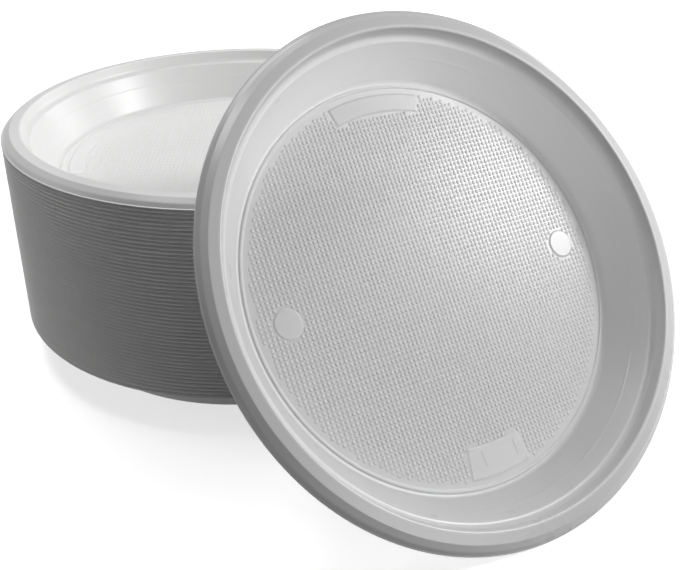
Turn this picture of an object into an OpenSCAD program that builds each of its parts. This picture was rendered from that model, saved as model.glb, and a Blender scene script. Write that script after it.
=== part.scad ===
// A stack of nested disposable plastic plates, with one more plate leaning on it.
// Millimetres. The stack stands on z = 0 and its axis is the z axis.

/* [Plate] */
// outer diameter, over the turned-down lip
plate_diameter = 220; // [160:1:300]
// height of the rim's crest above the inside of the base
plate_depth = 23.5; // [14:0.5:40]
// thickness of the formed sheet
wall = 0.4; // [0.3:0.05:0.8]

/* [Rim] */
// how far the lip hangs below the crest
lip_drop = 4; // [2:0.1:8]
// width of the lip, seen from above
lip_width = 4.3; // [3:0.1:6]
// width of the nearly flat edge at the foot of the lip
edge_width = 0.6; // [0.3:0.05:1.5]
// fall of that edge
edge_fall = 0.25; // [0.1:0.05:0.6]
// width of the flat rim outside the crest
rim_width = 4.4; // [2:0.1:12]
// fall of the flat rim from the crest to the lip
rim_fall = 0.4; // [0:0.05:1]
// width of the round inside the crest
crest_round = 0.6; // [0.3:0.1:2]
// fall of that round
crest_fall = 0.35; // [0.1:0.05:1]

/* [Side wall] */
// height of the steep step that the next plate up sits on
step_height = 4.4; // [1.5:0.1:6]
// width of the hollow round between the ledge and the step
ledge_round = 1.25; // [0.6:0.05:2]
// width of the ledge
ledge_width = 1.1; // [0.6:0.1:4]
// fall of the ledge
ledge_fall = 0.3; // [0.2:0.1:2]
// width of the sloping wall, seen from above
wall_run = 9.25; // [6:0.05:20]

/* [Base] */
// width of the round where wall and base meet
foot_round = 1.9; // [0.4:0.1:3]
// width of the flat groove inside that round
groove_width = 0.35; // [0.3:0.05:4]
// width of the raised ring on the base
ring_width = 1.6; // [1.2:0.1:4]
// height of the raised ring
ring_height = 0.5; // [0.2:0.05:0.9]

/* [Marks on the base] */
// diameter of the two round pads
pad_diameter = 12.6; // [6:0.2:20]
// distance of each pad from the plate's middle
pad_radius = 69.8; // [30:0.2:76]
// height of pads and tabs
mark_height = 0.5; // [0.2:0.05:0.9]
// width of the sloping edge of pads and tabs
mark_slope = 0.8; // [0.4:0.1:2]
// distance from the tabs' outer edge to the raised ring
tab_margin = 2.2; // [1:0.1:10]
// length of the narrow tab, towards the middle
narrow_tab_length = 13.3; // [4:0.1:30]
// width of the narrow tab, as an angle at the middle
narrow_tab_angle = 21.6; // [8:0.2:40]
// length of the broad tab
broad_tab_length = 8; // [4:0.1:30]
// width of the broad tab, as an angle at the middle
broad_tab_angle = 31.6; // [8:0.2:60]

/* [Stack] */
// number of plates in the stack
plate_count = 50; // [2:1:55]
// height that each further plate adds
nest_pitch = 1.81; // [1.2:0.01:4]
// clearance between nested plates at the steep step
nest_gap = 0.03; // [0.02:0.01:0.2]
// turn of the whole stack round its axis, which places the pads
stack_turn = 90; // [-180:5:180]

/* [Leaning plate] */
// angle between the leaning plate and the ground
lean_tilt = 51.75; // [40:0.25:75]
// direction that the leaning plate faces, turned from straight ahead
lean_turn = 34.45; // [-180:0.05:180]
// how far it stands to one side of the stack's middle
lean_shift = 12.24; // [-40:0.02:40]
// turn of the leaning plate in its own plane
lean_spin = -2.55; // [-180:0.05:180]
// clearance between the leaning plate and the stack
lean_gap = 0.05; // [0.02:0.01:0.5]

/* [Hidden] */
$fn = 96;
plate_color = [0.95, 0.95, 0.94];

function plate_name(i) = str("plate_", i < 10 ? "0" : "", i);

// The step is so steep that nested plates touch there and stay apart elsewhere.
step_angle = acos((wall + nest_gap) / nest_pitch);

plate_r = plate_diameter / 2;
rim_r = plate_r - lip_width;
crest_r = rim_r - rim_width;
step_r = crest_r - crest_round;
round_r = step_r - step_height / tan(step_angle);
ledge_r = round_r - ledge_round;
wall_r = ledge_r - ledge_width;
foot_r = wall_r - wall_run;
groove_r = foot_r - foot_round;
ring_out_r = groove_r - groove_width;
ring_in_r = ring_out_r - ring_width;
ring_slope = ring_width / 4;
round_z = -crest_fall - step_height;
ledge_z = round_z - 0.8 * ledge_round;
lip_fall = lip_drop - rim_fall - edge_fall;
lip_run = lip_width - edge_width;

plate_height = plate_depth + wall;
stack_height = plate_height + (plate_count - 1) * nest_pitch;

// The inside of the plate, from its middle to the edge of the lip, with the crest at z = 0.
inside = [
    [0, -plate_depth],
    [ring_in_r, -plate_depth],
    [ring_in_r + ring_slope, -plate_depth + ring_height],
    [ring_out_r - ring_slope, -plate_depth + ring_height],
    [ring_out_r, -plate_depth],
    [groove_r, -plate_depth],
    [foot_r, -plate_depth + foot_round * 0.7],
    [wall_r, ledge_z - ledge_fall],
    [ledge_r, ledge_z],
    [round_r, round_z],
    [step_r, -crest_fall],
    [crest_r, 0],
    [rim_r, -rim_fall],
    [rim_r + 0.7 * lip_run, -rim_fall - 0.54 * lip_fall],
    [plate_r - edge_width, -lip_drop + edge_fall],
    [plate_r, -lip_drop]
];
edge = len(inside) - 1;

function down_of(a, b) = let (d = (b - a) / norm(b - a)) [d[1], -d[0]];
function under_point(p, i, t) =
    i == 0 ? p[0] + t * down_of(p[0], p[1]) :
    i == len(p) - 1 ? p[i] + t * down_of(p[i - 1], p[i]) :
    let (m = down_of(p[i - 1], p[i]), n = down_of(p[i], p[i + 1])) p[i] + t * (m + n) / (1 + m * n);
function under_side(p, t) = [for (i = [len(p) - 1:-1:0]) under_point(p, i, t)];

module sheet() {
    rotate_extrude() polygon(concat(inside, under_side(inside, wall)));
}

// Pads and tabs are pressed up out of the sheet, so each leaves a hollow under the base.
// `inset` shrinks them all round, `low` and `high` are their foot and top above the base.
module pad(inset, low, high) {
    translate([0, 0, low - plate_depth])
        cylinder(h = high - low, r1 = pad_diameter / 2 - inset, r2 = pad_diameter / 2 - mark_slope - inset);
}

module tab(length, angle, inset, low, high) {
    out_r = ring_in_r - tab_margin - inset;
    in_r = ring_in_r - tab_margin - length + inset;
    span = angle - 2 * inset * 180 / (PI * out_r);
    rotate([0, 0, 90 - span / 2]) rotate_extrude(angle = span) polygon([
        [in_r, low - plate_depth],
        [out_r, low - plate_depth],
        [out_r - mark_slope, high - plate_depth],
        [in_r + mark_slope, high - plate_depth]
    ]);
}

module marks(inset, low, high) {
    for (s = [-1, 1]) translate([s * pad_radius, 0, 0]) pad(inset, low, high);
    tab(broad_tab_length, broad_tab_angle, inset, low, high);
    rotate([0, 0, 180]) tab(narrow_tab_length, narrow_tab_angle, inset, low, high);
}

// One plate with its crest at z = 0.
module plate() {
    color(plate_color) difference() {
        union() {
            sheet();
            marks(0, -wall / 4, mark_height);
        }
        marks(wall / 2, -wall * 1.25, mark_height - wall);
    }
}

// Plates are counted from the ground up.
module stacked_plate(i) {
    translate([0, 0, plate_height + (i - 1) * nest_pitch]) rotate([0, 0, stack_turn]) plate();
}

// The leaning plate stands on its lip and rests on the top plate's rim.
foot_points = [for (p = [inside[edge], under_point(inside, edge, wall)]) p[0] * sin(lean_tilt) - p[1] * cos(lean_tilt)];
lean_rise = max(foot_points);
rim_points = [for (i = [edge - 3:edge]) inside[i][0] * sin(lean_tilt) + inside[i][1] * cos(lean_tilt)];
stack_reach = max(rim_points) + stack_height * cos(lean_tilt);
lean_out = (stack_reach + plate_height + lean_gap - lean_rise * cos(lean_tilt)) / sin(lean_tilt);

module leaning_plate() {
    rotate([0, 0, lean_turn]) translate([lean_shift, -lean_out, lean_rise])
        rotate([lean_tilt, 0, 0]) rotate([0, 0, lean_spin]) plate();
}

for (i = [1:plate_count]) stacked_plate(i);
leaning_plate();
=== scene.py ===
# %% [markdown]
# # A stack of plastic plates
# This lesson dresses a imported CAD model of nested disposable plates for rendering. Each plate on the real
# object is one thin sheet of white plastic, pressed hot over a mould. Everything about its look comes from
# the section of that sheet, so the section is drawn once and turned round an axis. The imported solids could
# be given a material and left as they are, but their facets would show on the large smooth rims. New meshes
# with fine, rounded sections replace them, at the same sizes.

# %% Load the imported model
import math

import bpy
from mathutils import Matrix, Vector


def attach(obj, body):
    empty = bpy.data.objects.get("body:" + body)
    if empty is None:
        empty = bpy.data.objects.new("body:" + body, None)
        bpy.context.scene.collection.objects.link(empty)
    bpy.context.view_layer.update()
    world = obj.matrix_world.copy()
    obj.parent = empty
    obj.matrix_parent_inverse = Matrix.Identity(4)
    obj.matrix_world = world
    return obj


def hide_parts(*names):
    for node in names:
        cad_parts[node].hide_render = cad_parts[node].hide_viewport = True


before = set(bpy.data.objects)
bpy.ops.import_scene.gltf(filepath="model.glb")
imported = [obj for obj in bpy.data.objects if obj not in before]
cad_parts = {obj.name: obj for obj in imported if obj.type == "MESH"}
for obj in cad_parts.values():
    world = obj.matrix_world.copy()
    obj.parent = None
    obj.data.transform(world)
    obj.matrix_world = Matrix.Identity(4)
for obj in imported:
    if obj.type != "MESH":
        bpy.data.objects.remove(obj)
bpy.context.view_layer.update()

# %% [markdown]
# ## Sizes
# A maker of such plates would quote the diameter, the depth and the widths of rim and lip, in millimetres.
# The same numbers are used here, so that the new meshes fit the solids. The scene itself is in metres.

# %% Sizes of one plate, in millimetres
MM = 0.001
PLATE_R = 110.0
DEPTH = 23.5
WALL = 0.4
LIP_DROP, LIP_WIDTH = 4.0, 4.3
EDGE_WIDTH, EDGE_FALL = 0.6, 0.25
RIM_WIDTH, RIM_FALL = 4.4, 0.4
CREST_ROUND, CREST_FALL = 0.6, 0.35
STEP_HEIGHT = 4.4
LEDGE_ROUND, LEDGE_WIDTH, LEDGE_FALL = 1.25, 1.1, 0.3
WALL_RUN = 9.25
FOOT_ROUND, GROOVE_WIDTH, RING_WIDTH, RING_HEIGHT = 1.9, 0.35, 1.6, 0.5

PLATE_COUNT = 50
PITCH = 1.81
NEST_GAP = 0.03
STACK_H = DEPTH + WALL + (PLATE_COUNT - 1) * PITCH
STACK_TURN = math.radians(90)
print("stack height", STACK_H, "mm")

# %% Sizes of the marks on the base
PAD_R, PAD_AT = 6.3, 69.8
MARK_HEIGHT = 0.5
TAB_MARGIN = 2.2
NARROW_TAB = (13.3, 21.6)
BROAD_TAB = (8.0, 31.6)
BARS_AT, BAR_HALF = (-6.4, 9.8), 0.35
BAR_NEAR, BAR_FAR = -70.4, -77.0

# %% Where the leaning plate stands
LEAN_TILT = math.radians(51.75)
LEAN_TURN = math.radians(34.45)
LEAN_SPIN = math.radians(-2.55)
LEAN_SHIFT, LEAN_GAP = 12.24, 0.05

# %% [markdown]
# ## The section
# The inside of the sheet runs from the middle of the base, over a raised ring, up the side wall, over a
# ledge and the steep step that the next plate sits on, round the crest and down the lip. The same list of
# corners could be typed as finished coordinates, but built from the sizes it can be changed and checked.

# %% The corners of the sheet's inside, in millimetres from the axis and from the crest
step_angle = math.acos((WALL + NEST_GAP) / PITCH)
rim_r = PLATE_R - LIP_WIDTH
crest_r = rim_r - RIM_WIDTH
step_r = crest_r - CREST_ROUND
round_r = step_r - STEP_HEIGHT / math.tan(step_angle)
ledge_r = round_r - LEDGE_ROUND
wall_r = ledge_r - LEDGE_WIDTH
foot_r = wall_r - WALL_RUN
groove_r = foot_r - FOOT_ROUND
ring_out = groove_r - GROOVE_WIDTH
ring_in = ring_out - RING_WIDTH
round_z = -CREST_FALL - STEP_HEIGHT
ledge_z = round_z - 0.8 * LEDGE_ROUND
wall_top = ledge_z - LEDGE_FALL
foot_z = -DEPTH + 0.7 * FOOT_ROUND
lip_run = LIP_WIDTH - EDGE_WIDTH
lip_fall = LIP_DROP - RIM_FALL - EDGE_FALL

rim_part = [
    (step_r, -CREST_FALL),
    (crest_r, 0),
    (rim_r, -RIM_FALL),
    (rim_r + 0.7 * lip_run, -RIM_FALL - 0.54 * lip_fall),
    (PLATE_R - EDGE_WIDTH, -LIP_DROP + EDGE_FALL),
    (PLATE_R, -LIP_DROP),
]
print("base ring from", round(ring_in, 2), "to", round(ring_out, 2), "mm")

# %% [markdown]
# A pressed sheet has no sharp corners. It bends with a small radius everywhere, and where two flat parts
# meet at the foot of the wall the bend is wide. Each corner carries its own radius and becomes an arc. A
# guard point beside each arc keeps the long flat stretches truly flat, because smooth shading would
# otherwise spread the bend of the arc across them.

# %% Corners with their radii, for the plates that are seen from near
wall_slope = (wall_top - foot_z) / (wall_r - foot_r)
foot_corner = foot_r - (foot_z + DEPTH) / wall_slope
wall_way = Vector((1, wall_slope)).normalized()
wall_side = Vector((-wall_way.y, wall_way.x))
BEAD_R = 93.5
bead = Vector((BEAD_R, foot_z + (BEAD_R - foot_r) * wall_slope))

soft_corners = [
    (0, -DEPTH, 0),
    (ring_in, -DEPTH, 0.5),
    (ring_in + RING_WIDTH / 4, -DEPTH + RING_HEIGHT, 0.45),
    (ring_out - RING_WIDTH / 4, -DEPTH + RING_HEIGHT, 0.45),
    (ring_out, -DEPTH, 0.35),
    (foot_corner, -DEPTH, 2.6),
    (*(bead - wall_way * 0.7), 0.8),
    (*(bead + wall_side * 0.07), 0.6),
    (*(bead + wall_way * 0.7), 0.8),
    (wall_r, wall_top, 0.9),
    (ledge_r, ledge_z, 2.0),
    (round_r, round_z, 2.6),
]
soft_corners += [(r, z, bend) for (r, z), bend in zip(rim_part, (0.6, 0.9, 0.6, 2.4, 0.5, 0.12))]


# %% The other side of the sheet
def other_side(corners, thickness):
    """The corners of the sheet's underside, from the edge back to the middle."""
    points = []
    for k in range(len(corners) - 1, -1, -1):
        here = Vector(corners[k][:2])
        downs = []
        for a, b in ((k - 1, k), (k, k + 1)):
            if a >= 0 and b < len(corners):
                run = (Vector(corners[b][:2]) - Vector(corners[a][:2])).normalized()
                downs.append(Vector((run.y, -run.x)))
        both = downs[0] + downs[-1]
        place = here + both * (thickness / (1 + downs[0].dot(downs[-1])))
        bend = corners[k][2] if len(corners[k]) > 2 else 0.0
        rises = downs[0].cross(downs[-1]) > 0
        if 0 < k < len(corners) - 1:
            bend = bend + thickness if rises else max(bend - thickness, 0.12)
        points.append((place.x, place.y, bend))
    return points


# %% Round a corner list
def rounded(corners, guard):
    points = [Vector(c[:2]) for c in corners]
    runs = [(b - a).normalized() for a, b in zip(points, points[1:])]
    spans = [(b - a).length for a, b in zip(points, points[1:])]
    turns = [0.0] + [math.acos(max(-1.0, min(1.0, a.dot(b)))) for a, b in zip(runs, runs[1:])] + [0.0]
    reach = [c[2] * math.tan(turn / 2) for c, turn in zip(corners, turns)]
    for k, span in enumerate(spans):
        share = min(1.0, 0.94 * span / max(reach[k] + reach[k + 1], 1e-9))
        reach[k] *= share
        reach[k + 1] *= share
    result = [points[0]]
    for k in range(1, len(points) - 1):
        if turns[k] < 1e-3 or reach[k] < 1e-4:
            result.append(points[k])
            continue
        into, out, radius = runs[k - 1], runs[k], reach[k] / math.tan(turns[k] / 2)
        start = points[k] - into * reach[k]
        side = Vector((-into.y, into.x)) * (1 if into.cross(out) > 0 else -1)
        steps = max(2, math.ceil(math.degrees(turns[k]) / 12))
        if spans[k - 1] - reach[k - 1] - reach[k] > 3 * guard:
            result.append(start - into * guard)
        for n in range(steps + 1):
            angle = turns[k] * n / steps
            result.append(start + side * radius * (1 - math.cos(angle)) + into * radius * math.sin(angle))
        if spans[k] - reach[k] - reach[k + 1] > 3 * guard:
            result.append(result[-1] + out * guard)
    return result + [points[-1]]


fine_section = rounded(soft_corners + other_side(soft_corners, WALL), 0.2)
print("fine section:", len(fine_section), "points")

# %% [markdown]
# ## Turning the section round
# A lathe tree in Geometry Nodes makes the plate. A grid has one row for each point of the section and one
# column for each turn round the axis. Set Position bends it: the row picks the point, the column the angle.
# The Screw modifier could do the same, but the tree can go on to stack the result, which a modifier can't.

# %% A small helper that writes node trees
def new_tree(name, inputs):
    tree = bpy.data.node_groups.new(name, "GeometryNodeTree")
    tree.interface.new_socket("Geometry", in_out="INPUT", socket_type="NodeSocketGeometry")
    for label, kind in inputs:
        tree.interface.new_socket(label, in_out="INPUT", socket_type=kind)
    tree.interface.new_socket("Geometry", in_out="OUTPUT", socket_type="NodeSocketGeometry")
    return tree


def add_node(tree, kind, settings=None, **sockets):
    node = tree.nodes.new(kind)
    for key, value in (settings or {}).items():
        setattr(node, key, value)
    for key, value in sockets.items():
        socket = node.inputs[int(key[1:])] if key[0] == "i" and key[1:].isdigit() else node.inputs[key]
        if isinstance(value, bpy.types.NodeSocket):
            tree.links.new(value, socket)
        else:
            socket.default_value = value
    return node


def maths(tree, operation, a, b=0.0):
    return add_node(tree, "ShaderNodeMath", {"operation": operation}, i0=a, i1=b).outputs[0]


# %% The lathe tree
def lathe_nodes(tree, section, turns, count):
    """Nodes that turn the section mesh round the z axis. Returns the geometry socket."""
    grid = add_node(tree, "GeometryNodeMeshGrid", i0=1.0, i1=1.0, i2=count, i3=maths(tree, "ADD", turns, 1.0))
    place = add_node(tree, "GeometryNodeInputPosition").outputs[0]
    apart = add_node(tree, "ShaderNodeSeparateXYZ", i0=place)
    last = maths(tree, "SUBTRACT", count, 1.0)
    row = maths(tree, "ROUND", maths(tree, "MULTIPLY", maths(tree, "ADD", apart.outputs[0], 0.5), last))
    angle = maths(tree, "MULTIPLY", maths(tree, "ADD", apart.outputs[1], 0.5), 2 * math.pi)
    point = add_node(
        tree, "GeometryNodeSampleIndex", {"data_type": "FLOAT_VECTOR"},
        Geometry=section, Value=place, Index=row,
    ).outputs[0]
    spot = add_node(tree, "ShaderNodeSeparateXYZ", i0=point)
    x = maths(tree, "MULTIPLY", spot.outputs[0], maths(tree, "COSINE", angle))
    y = maths(tree, "MULTIPLY", spot.outputs[0], maths(tree, "SINE", angle))
    bent = add_node(tree, "ShaderNodeCombineXYZ", i0=x, i1=y, i2=spot.outputs[2]).outputs[0]
    lathe = add_node(tree, "GeometryNodeSetPosition", Geometry=grid.outputs[0], Position=bent)
    closed = add_node(tree, "GeometryNodeMergeByDistance", Geometry=lathe.outputs[0], Distance=2e-6)
    return closed.outputs[0]


def lip_wave(tree, ins, geometry, number):
    """Every plate's lip wanders a little, up and down and inwards, in its own way."""
    place = add_node(tree, "GeometryNodeInputPosition").outputs[0]
    spot = add_node(tree, "ShaderNodeSeparateXYZ", i0=place)
    flat = add_node(tree, "ShaderNodeCombineXYZ", i0=spot.outputs[0], i1=spot.outputs[1]).outputs[0]
    far = add_node(tree, "ShaderNodeVectorMath", {"operation": "LENGTH"}, i0=flat).outputs["Value"]
    share = maths(tree, "DIVIDE", maths(tree, "SUBTRACT", far, ins["Wave from"]), (PLATE_R - rim_r) * MM)
    share = maths(tree, "MINIMUM", maths(tree, "MAXIMUM", share, 0.0), 1.0)
    noises = []
    for offset in (0.0, 51.0):
        seed = maths(tree, "ADD", maths(tree, "MULTIPLY", number, 3.7), offset)
        noise = add_node(
            tree, "ShaderNodeTexNoise", {"noise_dimensions": "4D"}, Vector=flat, W=seed, Scale=16.0
        )
        noises.append(noise.outputs[0])
    rise = maths(tree, "MULTIPLY", maths(tree, "SUBTRACT", noises[0], 0.5), ins["Wave"])
    rise = maths(tree, "MULTIPLY", rise, share)
    inwards = maths(tree, "MULTIPLY", maths(tree, "MULTIPLY", noises[1], ins["Wave"]), share)
    inwards = maths(tree, "MULTIPLY", maths(tree, "DIVIDE", inwards, far), -0.5)
    sideways = add_node(tree, "ShaderNodeVectorMath", {"operation": "SCALE"}, i0=flat, Scale=inwards)
    upwards = add_node(tree, "ShaderNodeCombineXYZ", i2=rise)
    shift = add_node(
        tree, "ShaderNodeVectorMath", {"operation": "ADD"}, i0=sideways.outputs[0], i1=upwards.outputs[0]
    )
    return add_node(tree, "GeometryNodeSetPosition", Geometry=geometry, Offset=shift.outputs[0]).outputs[0]


def lathe_tree():
    tree = new_tree(
        "turned_plate",
        [("Turns", "NodeSocketInt"), ("Points", "NodeSocketInt"), ("Count", "NodeSocketInt"),
         ("Pitch", "NodeSocketFloat"), ("Wave", "NodeSocketFloat"), ("Wave from", "NodeSocketFloat"),
         ("Finish", "NodeSocketMaterial")],
    )
    ins = tree.nodes.new("NodeGroupInput").outputs
    plate = lathe_nodes(tree, ins["Geometry"], ins["Turns"], ins["Points"])
    step = add_node(tree, "ShaderNodeCombineXYZ", i2=ins["Pitch"]).outputs[0]
    line = add_node(tree, "GeometryNodeMeshLine", {"mode": "OFFSET"}, Count=ins["Count"], Offset=step)
    numbered = tree.nodes.new("GeometryNodeCaptureAttribute")
    numbered.capture_items.new("FLOAT", "Number")
    tree.links.new(line.outputs[0], numbered.inputs[0])
    tree.links.new(add_node(tree, "GeometryNodeInputIndex").outputs[0], numbered.inputs[1])
    stack = add_node(tree, "GeometryNodeInstanceOnPoints", Points=numbered.outputs[0], Instance=plate)
    real = add_node(tree, "GeometryNodeRealizeInstances", Geometry=stack.outputs[0])
    wavy = lip_wave(tree, ins, real.outputs[0], numbered.outputs[1])
    dressed = add_node(tree, "GeometryNodeSetMaterial", Geometry=wavy, Material=ins["Finish"])
    out = tree.nodes.new("NodeGroupOutput")
    tree.links.new(dressed.outputs[0], out.inputs[0])
    return tree


LATHE = lathe_tree()
print("lathe tree nodes:", len(LATHE.nodes))


# %% Run a tree on a mesh and keep the plain result
def run_tree(name, tree, mesh, values):
    carrier = bpy.data.objects.new(name + "_maker", mesh)
    bpy.context.scene.collection.objects.link(carrier)
    modifier = carrier.modifiers.new("tree", "NODES")
    modifier.node_group = tree
    for item in tree.interface.items_tree:
        if item.item_type == "SOCKET" and item.in_out == "INPUT" and item.name in values:
            modifier[item.identifier] = values[item.name]
    graph = bpy.context.evaluated_depsgraph_get()
    result = bpy.data.meshes.new_from_object(carrier.evaluated_get(graph), depsgraph=graph)
    result.name = name
    bpy.data.objects.remove(carrier)
    return result


def outward(mesh):
    """Turn the faces outwards and count triangles. A closed shell has a positive volume then."""
    import bmesh

    work = bmesh.new()
    work.from_mesh(mesh)
    bmesh.ops.recalc_face_normals(work, faces=work.faces)
    if work.calc_volume(signed=True) < 0:
        bmesh.ops.reverse_faces(work, faces=work.faces)
    open_edges = sum(1 for e in work.edges if not e.is_manifold)
    work.to_mesh(mesh)
    work.free()
    mesh.polygons.foreach_set("use_smooth", [True] * len(mesh.polygons))
    print(mesh.name, "triangles:", sum(len(p.vertices) - 2 for p in mesh.polygons), "open edges:", open_edges)


def section_mesh(name, points):
    mesh = bpy.data.meshes.new(name)
    coords = [(p[0] * MM, 0.0, p[1] * MM) for p in points]
    mesh.from_pydata(coords, [(k, k + 1) for k in range(len(coords) - 1)], [])
    return mesh


# %% [markdown]
# ## The finish
# The sheet is white, lets some light through and has a soft gloss. Subsurface light would be the true cause
# of its milky look, but the sheet is so thin that light simply comes out at the other side, so the leaning
# plate mixes a Translucent shader into its gloss. The stacked plates have others behind them and need none.
#
# With one even finish the leaning plate's wall came out darker than in the photograph and the left of its rim
# lighter. So light is painted into the wall, which is made whiter and lets more light through, and shade is
# painted onto the rim, which is made darker and lets less through. These shares were chosen to meet the
# photograph, and are not measured.

# %% A small class that lets shader maths be written as expressions
class Value:
    """One value in a shader tree. Sums and products add Math nodes."""

    def __init__(self, tree, socket):
        self.tree, self.socket = tree, socket

    def maths(self, operation, *others):
        node = self.tree.nodes.new("ShaderNodeMath")
        node.operation = operation
        for socket, item in zip(node.inputs, [self] + list(others)):
            if isinstance(item, Value):
                self.tree.links.new(item.socket, socket)
            else:
                socket.default_value = item
        return Value(self.tree, node.outputs[0])

    def __add__(self, other):
        return self.maths("ADD", other)

    def __mul__(self, other):
        return self.maths("MULTIPLY", other)

    def __sub__(self, other):
        return self.maths("SUBTRACT", other)


def shader_node(tree, kind, settings=None, **sockets):
    node = tree.nodes.new(kind)
    for key, value in (settings or {}).items():
        setattr(node, key, value)
    for key, value in sockets.items():
        socket = node.inputs[key.replace("_", " ")]
        if isinstance(value, Value):
            tree.links.new(value.socket, socket)
        elif isinstance(value, bpy.types.NodeSocket):
            tree.links.new(value, socket)
        else:
            socket.default_value = value
    return node


def mixed(tree, share, first, second):
    mix = shader_node(tree, "ShaderNodeMixShader", Fac=share)
    tree.links.new(first, mix.inputs[1])
    tree.links.new(second, mix.inputs[2])
    return mix.outputs[0]


# %% The white sheet, with painted light on its wall and painted shade on its rim, by distance from the plate's axis, in metres
WALL_FROM, WALL_TO, RIM_FROM = (0.0845, 0.0885), (0.1005, 0.0985), (0.1005, 0.1025)
WALL_PAINTED_LIGHT, RIM_PAINTED_SHADE = 0.09, -0.26
WALL_PAINTED_GLOW, RIM_PAINTED_DIMMING = 0.12, -0.26
SHEET_IOR = 1.59


def ramp(value, start, end):
    share = (value - start) * (1 / (end - start))
    return share.maths("MAXIMUM", 0.0).maths("MINIMUM", 1.0)


def lit_wall_and_shaded_rim(tree, where, place):
    """How far each point of a plate belongs to its side wall, which gets painted light, and to its rim, which
    gets painted shade, from 0 to 1.
    """
    turn, shift = place.to_euler(), place.translation
    local = shader_node(
        tree, "ShaderNodeMapping", {"vector_type": "TEXTURE"}, Vector=where, Location=shift, Rotation=turn
    )
    spot = shader_node(tree, "ShaderNodeSeparateXYZ", Vector=local.outputs[0])
    x, y = Value(tree, spot.outputs[0]), Value(tree, spot.outputs[1])
    radius = (x * x + y * y).maths("SQRT")
    wall = ramp(radius, *WALL_FROM) * ramp(radius, *WALL_TO)
    return wall, ramp(radius, *RIM_FROM)


def white_sheet(name, white, roughness, unevenness, see_through=0.0, place=None):
    material = bpy.data.materials.new(name)
    material.use_nodes = True
    tree = material.node_tree
    tree.nodes.clear()
    where = shader_node(tree, "ShaderNodeTexCoord").outputs["Object"]
    cloud = shader_node(tree, "ShaderNodeTexNoise", Vector=where, Scale=38.0, Detail=3.0, Roughness=0.55)
    fine = shader_node(tree, "ShaderNodeTexNoise", Vector=where, Scale=900.0, Detail=2.0, Roughness=0.5)
    gloss = Value(tree, cloud.outputs["Fac"]) * unevenness + (roughness - unevenness / 2)
    bump = shader_node(tree, "ShaderNodeBump", Strength=0.04, Distance=0.0002, Height=fine.outputs["Fac"])
    colour = (white, white, white * 0.995, 1)
    if place:
        wall, rim = lit_wall_and_shaded_rim(tree, where, place)
        # Painted light and shade: the wall is whiter and lets more light through, the rim is darker and lets
        # less through.
        colour = wall * WALL_PAINTED_LIGHT + rim * RIM_PAINTED_SHADE + white
        see_through = wall * WALL_PAINTED_GLOW + rim * RIM_PAINTED_DIMMING + see_through
    skin = shader_node(
        tree, "ShaderNodeBsdfPrincipled",
        Base_Color=colour, Roughness=gloss, IOR=SHEET_IOR, Normal=bump.outputs["Normal"],
    )
    surface = skin.outputs["BSDF"]
    if see_through:
        glow = shader_node(tree, "ShaderNodeBsdfTranslucent", Color=colour)
        surface = mixed(tree, see_through, surface, glow.outputs["BSDF"])
    shader_node(tree, "ShaderNodeOutputMaterial", Surface=surface)
    print("material", name, "with", len(tree.nodes), "nodes")
    return material


# %% [markdown]
# ## The plates
# Three pieces stand for the fifty-one solids: the top plate, whose inside is seen, the forty-nine plates
# under it, of which only the lips are seen, and the leaning plate. The hidden ones have a simpler section,
# so that the whole stack stays light enough to turn round in a viewer. Its base is flat from the axis to
# the groove, as in the solids: a slope that starts at the axis would leave a pinhole in the underside.

# %% The leaning plate's place
tilt_sin, tilt_cos = math.sin(LEAN_TILT), math.cos(LEAN_TILT)
under_edge = other_side(rim_part, WALL)[0]
lean_rise = max(r * tilt_sin - z * tilt_cos for r, z in (rim_part[-1], under_edge[:2]))
rim_reach = max(r * tilt_sin + z * tilt_cos for r, z in rim_part[2:])
stack_reach = rim_reach + STACK_H * tilt_cos
lean_out = (stack_reach + DEPTH + WALL + LEAN_GAP - lean_rise * tilt_cos) / tilt_sin
LEAN_PLACE = (
    Matrix.Rotation(LEAN_TURN, 4, "Z")
    @ Matrix.Translation(Vector((LEAN_SHIFT, -lean_out, lean_rise)) * MM)
    @ Matrix.Rotation(LEAN_TILT, 4, "X")
    @ Matrix.Rotation(LEAN_SPIN, 4, "Z")
)
TOP_PLACE = Matrix.Translation((0, 0, STACK_H * MM)) @ Matrix.Rotation(STACK_TURN, 4, "Z")
print("leaning plate's middle", [round(v, 4) for v in LEAN_PLACE.translation])

# %% The three finishes
# The leaning plate's sheet carries painted light on its wall and painted shade on its rim.
SHEET = white_sheet("white_sheet", 0.86, 0.28, 0.04, 0.42, LEAN_PLACE)
NESTED = white_sheet("nested_white_sheet", 0.80, 0.36, 0.10)
# Painted shade: the leaning plate's marks are darker than the sheet they are pressed from.
SHADED_MARK_FINISH = white_sheet("pressed_mark_painted_shade", 0.55, 0.26, 0.05)


# %% [markdown]
# ## Marks pressed into the base
# The mould leaves two round pads, a broad tab and a narrow tab on the base, each a little higher than the
# sheet around it. They could be cut into the turned mesh with a boolean, which would break its even rows of
# faces and with them the smooth shading. A low raised form with its own soft edge is laid on the base
# instead, with its foot just inside the sheet. With the sheet's own finish this double layer came out
# brighter than in the photograph, so shade is painted onto the leaning plate's marks: they have a darker
# colour of their own.

# %% A raised mark, lofted from outlines
def loft(rings):
    """Outlines of the same length, from the foot up; closed at both ends."""
    count = len(rings[0])
    coords = [p for ring in rings for p in ring]
    faces = [tuple(range(count - 1, -1, -1))]
    for level in range(len(rings) - 1):
        low, high = level * count, (level + 1) * count
        for k in range(count):
            after = (k + 1) % count
            faces.append((low + k, low + after, high + after, high + k))
    faces.append(tuple(range(len(coords) - count, len(coords))))
    return coords, faces


def pad_outline(x, inset, z):
    ring = []
    for k in range(64):
        angle = 2 * math.pi * k / 64
        ring.append((x + (PAD_R - inset) * math.cos(angle), (PAD_R - inset) * math.sin(angle), z))
    return ring


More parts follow.
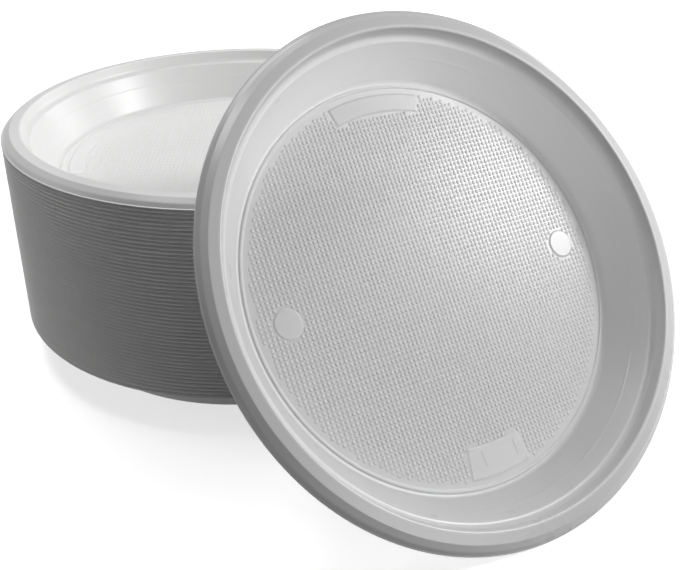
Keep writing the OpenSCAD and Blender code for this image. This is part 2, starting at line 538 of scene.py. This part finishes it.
def tab_outline(size, towards, inset, z):
    length, degrees = size
    outer = ring_in - TAB_MARGIN - inset
    inner = ring_in - TAB_MARGIN - length + inset
    half = math.radians(degrees / 2) - inset / outer
    angles = [towards - half + 2 * half * k / 32 for k in range(33)]
    ring = [(outer * math.cos(t), outer * math.sin(t), z) for t in angles]
    return ring + [(inner * math.cos(t), inner * math.sin(t), z) for t in reversed(angles)]


def bar_outline(x, inset, z):
    near, far, half = BAR_NEAR - inset, BAR_FAR + inset, BAR_HALF - inset
    return [(x - half, far, z), (x + half, far, z), (x + half, near, z), (x - half, near, z)]


# Inset and height of each outline of a mark, from its foot to its top
EDGE = [(0.0, -0.1), (0.0, 0.0), (0.12, 0.03), (0.6, 0.46), (0.72, 0.5), (0.95, 0.5)]


def raised(outline, lift=1.0, floor=0.0, soft=1.0):
    return loft([outline(inset * soft, -DEPTH + floor + z * lift) for inset, z in EDGE])


def base_marks():
    top, bottom = math.pi / 2, -math.pi / 2
    marks = [raised(lambda i, z, x=x: pad_outline(x, i, z)) for x in (-PAD_AT, PAD_AT)]
    marks.append(raised(lambda i, z: tab_outline(BROAD_TAB, top, i, z)))
    marks.append(raised(lambda i, z: tab_outline(NARROW_TAB, bottom, i, z)))
    for x in BARS_AT:
        marks.append(raised(lambda i, z, x=x: bar_outline(x, i, z), 0.4, MARK_HEIGHT, 0.3))
    return marks


def add_marks(mesh, finish):
    import bmesh

    first = len(mesh.polygons)
    work = bmesh.new()
    work.from_mesh(mesh)
    for coords, faces in base_marks():
        points = [work.verts.new(Vector(c) * MM) for c in coords]
        for face in faces:
            work.faces.new([points[k] for k in face])
    work.to_mesh(mesh)
    work.free()
    mesh.materials.append(finish)
    for polygon in mesh.polygons[first:]:
        polygon.material_index = 1


print("marks on each base:", len(base_marks()))

# %% [markdown]
# ## The pressed grid
# Between the marks the base carries a fine grid of low domes, 2 mm apart, which the photograph shows as a
# weave of light and dark. A bump map would look right from far away, but it has no edge against the marks
# and it is lost in a model file. Geometry Nodes set one dome of a few faces on each point of a grid, and
# delete the points that would fall on a mark or outside the grid's circle. Towards that circle the domes
# grow lower. The top plate's inside looks smooth in the photograph, so its grid is much lower than the
# leaning plate's.

# %% The grid tree
GRID_R, GRID_PITCH, GRID_ROWS = 81.7, 1.99, 83
DOME_WIDE, DOME_LONG = 0.84, 0.97
DOME_H, TOP_DOME_H = 0.22, 0.06
FADE = 9.0


def dome_mesh(height):
    sides = 8
    coords, faces = [], []
    for share, z in ((1.0, -0.03), (0.62, height * 0.8)):
        for k in range(sides):
            angle = 2 * math.pi * (k + 0.5) / sides
            x, y = DOME_WIDE * share * math.cos(angle), DOME_LONG * share * math.sin(angle)
            coords.append((x * MM, y * MM, z * MM))
    coords.append((0, 0, height * MM))
    for k in range(sides):
        after = (k + 1) % sides
        faces.append((k, after, sides + after, sides + k))
        faces.append((sides + k, sides + after, 2 * sides))
    faces.append(tuple(range(sides - 1, -1, -1)))
    mesh = bpy.data.meshes.new("dome")
    mesh.from_pydata(coords, [], faces)
    mesh.polygons.foreach_set("use_smooth", [True] * (len(faces) - 1) + [False])
    return mesh


def grid_tree():
    tree = new_tree(
        "pressed_grid",
        [("Radius", "NodeSocketFloat"), ("Pitch", "NodeSocketFloat"), ("Across", "NodeSocketInt"),
         ("Pad place", "NodeSocketFloat"), ("Pad radius", "NodeSocketFloat"),
         ("Finish", "NodeSocketMaterial")],
    )
    ins = tree.nodes.new("NodeGroupInput").outputs
    span = maths(tree, "MULTIPLY", ins["Pitch"], maths(tree, "SUBTRACT", ins["Across"], 1.0))
    grid = add_node(tree, "GeometryNodeMeshGrid", i0=span, i1=span, i2=ins["Across"], i3=ins["Across"])
    spot = add_node(tree, "ShaderNodeSeparateXYZ", i0=add_node(tree, "GeometryNodeInputPosition").outputs[0])
    x, y = spot.outputs[0], spot.outputs[1]
    squares = maths(tree, "ADD", maths(tree, "MULTIPLY", x, x), maths(tree, "MULTIPLY", y, y))
    far = maths(tree, "SQRT", squares)
    outside = maths(tree, "GREATER_THAN", far, ins["Radius"])
    side = maths(tree, "SUBTRACT", maths(tree, "ABSOLUTE", x), ins["Pad place"])
    squares = maths(tree, "ADD", maths(tree, "MULTIPLY", side, side), maths(tree, "MULTIPLY", y, y))
    on_pad = maths(tree, "LESS_THAN", maths(tree, "SQRT", squares), ins["Pad radius"])
    lean = maths(tree, "ARCTAN2", x, y)
    back = maths(tree, "ARCTAN2", x, maths(tree, "MULTIPLY", y, -1.0))
    skip = maths(tree, "MAXIMUM", outside, on_pad)
    for angle, (length, degrees) in ((lean, BROAD_TAB), (back, NARROW_TAB)):
        near = maths(tree, "LESS_THAN", maths(tree, "ABSOLUTE", angle), math.radians(degrees / 2) + 0.009)
        beyond = maths(tree, "GREATER_THAN", far, (ring_in - TAB_MARGIN - length - 0.7) * MM)
        skip = maths(tree, "MAXIMUM", skip, maths(tree, "MULTIPLY", near, beyond))
    kept = add_node(
        tree, "GeometryNodeDeleteGeometry", {"domain": "POINT"}, Geometry=grid.outputs[0], Selection=skip
    )
    inward = maths(tree, "DIVIDE", maths(tree, "SUBTRACT", ins["Radius"], far), FADE * MM)
    height = maths(tree, "MINIMUM", maths(tree, "ADD", inward, 0.35), 1.0)
    stretch = add_node(tree, "ShaderNodeCombineXYZ", X=1.0, Y=1.0, Z=height)
    domes = add_node(
        tree, "GeometryNodeInstanceOnPoints", Points=kept.outputs[0], Instance=ins["Geometry"],
        Scale=stretch.outputs[0],
    )
    real = add_node(tree, "GeometryNodeRealizeInstances", Geometry=domes.outputs[0])
    dressed = add_node(tree, "GeometryNodeSetMaterial", Geometry=real.outputs[0], Material=ins["Finish"])
    out = tree.nodes.new("NodeGroupOutput")
    tree.links.new(dressed.outputs[0], out.inputs[0])
    return tree


GRID = grid_tree()


def grid_piece(name, place, finish, height):
    values = {
        "Radius": GRID_R * MM, "Pitch": GRID_PITCH * MM, "Across": GRID_ROWS,
        "Pad place": PAD_AT * MM, "Pad radius": (PAD_R + 0.5) * MM, "Finish": finish,
    }
    mesh = run_tree(name, GRID, dome_mesh(height), values)
    mesh.transform(place @ Matrix.Translation((0, 0, -DEPTH * MM)))
    piece = bpy.data.objects.new(name, mesh)
    bpy.context.scene.collection.objects.link(piece)
    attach(piece, "root")
    print(name, "triangles:", sum(len(p.vertices) - 2 for p in mesh.polygons))


# %% Make the three pieces
FINE_TURNS, PLAIN_TURNS, LIP_WAVE = 192, 100, 0.5


def plate_piece(name, section, turns, count, place, finish, wave=0.0):
    flat = section_mesh(name + "_section", section)
    values = {
        "Turns": turns, "Points": len(section), "Count": count, "Pitch": -PITCH * MM,
        "Wave": wave * MM, "Wave from": rim_r * MM, "Finish": finish,
    }
    mesh = run_tree(name, LATHE, flat, values)
    outward(mesh)
    if count == 1:
        # The leaning plate's marks get the darker colour, which is painted shade.
        add_marks(mesh, NESTED if finish == NESTED else SHADED_MARK_FINISH)
        mesh.polygons.foreach_set("use_smooth", [True] * len(mesh.polygons))
    mesh.transform(place)
    piece = bpy.data.objects.new(name, mesh)
    bpy.context.scene.collection.objects.link(piece)
    return piece


top_plate = plate_piece("top_plate", fine_section, FINE_TURNS, 1, TOP_PLACE, NESTED)
leaning_plate = plate_piece("leaning_plate_sheet", fine_section, FINE_TURNS, 1, LEAN_PLACE, SHEET)
guard = Vector(rim_part[-1]) * 0.9 + Vector(rim_part[-2]) * 0.1
plain = [(0, -DEPTH), (groove_r, -DEPTH), (foot_r, foot_z), (wall_r, wall_top), (round_r, round_z)]
plain += [rim_part[0]] + rim_part[2:5] + [tuple(guard), rim_part[5]]
plain_section = [c[:2] for c in plain + other_side(plain, WALL)]
nested_place = Matrix.Translation((0, 0, (STACK_H - PITCH) * MM)) @ Matrix.Rotation(STACK_TURN, 4, "Z")
nested_plates = plate_piece(
    "nested_plates", plain_section, PLAIN_TURNS, PLATE_COUNT - 1, nested_place, NESTED, LIP_WAVE
)

for piece, nodes in (
    (top_plate, ["plate_50"]),
    (leaning_plate, ["leaning_plate"]),
    (nested_plates, ["plate_%02d" % k for k in range(1, 50)]),
):
    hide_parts(*nodes)
    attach(piece, "root")

grid_piece("top_grid", TOP_PLACE, NESTED, TOP_DOME_H)
grid_piece("leaning_grid", LEAN_PLACE, SHEET, DOME_H)

# %% [markdown]
# ## Camera
# The camera stands where the photograph was taken from, found from the outlines of rims and base. It looks
# down on the plates through a rather long lens.

# %% Camera
PITCH_DOWN, ROLL = math.radians(28.458), math.radians(0.639)
FOCAL_PIXELS, PHOTO_WIDTH, SENSOR = 1045.46, 680, 36.0


def aim_camera():
    pitch, roll = PITCH_DOWN, ROLL
    ahead = Vector((0, math.cos(pitch), -math.sin(pitch)))
    level = Vector((1, 0, 0))
    below = ahead.cross(level)
    right = level * math.cos(roll) + below * math.sin(roll)
    down = below * math.cos(roll) - level * math.sin(roll)
    data = bpy.data.cameras.new("photo_camera")
    data.sensor_fit = "HORIZONTAL"
    data.sensor_width = SENSOR
    data.lens = FOCAL_PIXELS / PHOTO_WIDTH * SENSOR
    data.clip_start = 0.01
    camera = bpy.data.objects.new("photo_camera", data)
    turn = Matrix((right, -down, -ahead)).transposed().to_4x4()
    camera.matrix_world = Matrix.Translation((0.04891, -0.48312, 0.2771)) @ turn
    bpy.context.scene.collection.objects.link(camera)
    bpy.context.scene.camera = camera
    print("lens", round(data.lens, 2), "mm")


aim_camera()

# %% [markdown]
# ## Floor and light
# The photograph has a white ground with a soft shadow. Camera and glossy rays see the floor as a bright
# matt white with some light added, so it reads as white where the lamps reach it and keeps the shadow. For
# all other rays it is nearly black, because a white floor would light the foot of the stack, which is dark
# in the photograph.
#
# Seven soft boxes light the plates. The key and the side box make the bright area on the leaning plate's
# base, those behind shine through its wall, and the others set the level of the stack's side and the top
# plate. Their powers were tuned to the photograph's view, so other views are not matched to anything.

# %% Floor
FLOOR_SEEN, FLOOR_LIFT, FLOOR_HIDDEN = 0.8, 0.66, 0.03


def floor_material():
    material = bpy.data.materials.new("white_ground")
    material.use_nodes = True
    tree = material.node_tree
    tree.nodes.clear()
    rays = shader_node(tree, "ShaderNodeLightPath")
    camera, glossy = (Value(tree, rays.outputs[name]) for name in ("Is Camera Ray", "Is Glossy Ray"))
    seen = camera.maths("MAXIMUM", glossy)
    shade = shader_node(tree, "ShaderNodeMix", {"data_type": "RGBA"}, Factor=seen)
    shade.inputs[6].default_value = (FLOOR_HIDDEN, FLOOR_HIDDEN, FLOOR_HIDDEN, 1)
    shade.inputs[7].default_value = (FLOOR_SEEN, FLOOR_SEEN, FLOOR_SEEN, 1)
    matt = shader_node(tree, "ShaderNodeBsdfDiffuse", Color=shade.outputs[2])
    lift = shader_node(tree, "ShaderNodeEmission", Color=(1, 1, 1, 1), Strength=seen * FLOOR_LIFT)
    both = tree.nodes.new("ShaderNodeAddShader")
    tree.links.new(matt.outputs[0], both.inputs[0])
    tree.links.new(lift.outputs[0], both.inputs[1])
    shader_node(tree, "ShaderNodeOutputMaterial", Surface=both.outputs[0])
    return material


floor_mesh = bpy.data.meshes.new("ground")
floor_mesh.from_pydata([(-6, -6, 0), (6, -6, 0), (6, 6, 0), (-6, 6, 0)], [], [(0, 1, 2, 3)])
floor_mesh.materials.append(floor_material())
ground = bpy.data.objects.new("ground", floor_mesh)
bpy.context.scene.collection.objects.link(ground)


# %% Lamps
def soft_box(name, place, target, size, power):
    data = bpy.data.lights.new(name, "AREA")
    data.shape = "RECTANGLE"
    data.size, data.size_y = size
    data.energy = power
    lamp = bpy.data.objects.new(name, data)
    aim = (Vector(target) - Vector(place)).to_track_quat("-Z", "Y").to_matrix().to_4x4()
    lamp.matrix_world = Matrix.Translation(place) @ aim
    bpy.context.scene.collection.objects.link(lamp)


soft_box("key", (0.965, -0.11, 0.655), (0.11, -0.1, 0.1), (0.22, 0.22), 6.0)
soft_box("side", (1.08, -0.1, 0.40), (0.1, -0.1, 0.1), (0.4, 0.4), 1.7)
soft_box("behind", (0.80, 0.70, 0.25), (0.12, -0.1, 0.1), (0.5, 0.5), 3.6)
soft_box("back", (-0.4, 0.7, 1.15), (0, 0, 0.1), (0.8, 0.8), 7.2)
soft_box("above", (-0.33, 0.0, 1.15), (0, -0.1, 0.1), (0.3, 0.3), 2.4)
soft_box("left", (-1.0, -0.1, 0.35), (-0.05, 0.0, 0.05), (0.4, 0.4), 1.1)
soft_box("front", (0.9, -0.8, 0.25), (0.11, -0.1, 0.1), (0.5, 0.5), 3.0)

world = bpy.data.worlds.new("studio")
world.use_nodes = True
bpy.context.scene.world = world
sky = world.node_tree.nodes["Background"]
sky.inputs["Color"].default_value = (1, 1, 1, 1)
sky.inputs["Strength"].default_value = 0.15
bpy.context.scene.view_settings.view_transform = "Standard"
